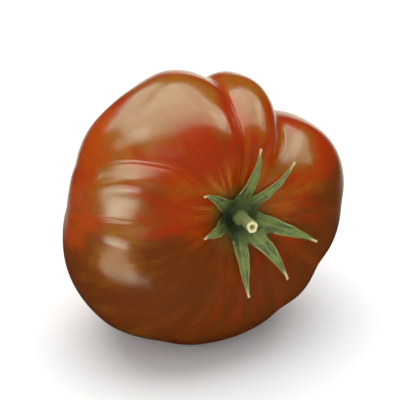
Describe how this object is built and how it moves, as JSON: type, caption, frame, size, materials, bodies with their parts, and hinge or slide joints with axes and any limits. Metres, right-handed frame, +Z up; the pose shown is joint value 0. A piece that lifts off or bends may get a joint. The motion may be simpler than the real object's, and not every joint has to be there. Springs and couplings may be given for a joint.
{
  "type": "ribbed heirloom tomato",
  "caption": "Ribbed, glossy red-brown heirloom tomato lying on its side on a small flat spot, with a green star calyx and a short stub of stem.",
  "frame": {"origin": "on the resting surface, under the middle of the whole part's box", "axes": "+Z up, +X along the longest side of the fruit's outline, -Y towards the stem end, whose axis points along -Y and 19 degrees up"},
  "size_m": [0.0784, 0.0628, 0.0712],
  "materials": {
    "skin": "glossy skin, orange-red shading to brown-green",
    "sepal": "matt green with pale dry tips",
    "stem": "matt pale green with a cream cut end"
  },
  "bodies": {
    "root": {"fruit": "skin", "calyx": "sepal", "stem": "stem"}
  },
  "joints": []
}
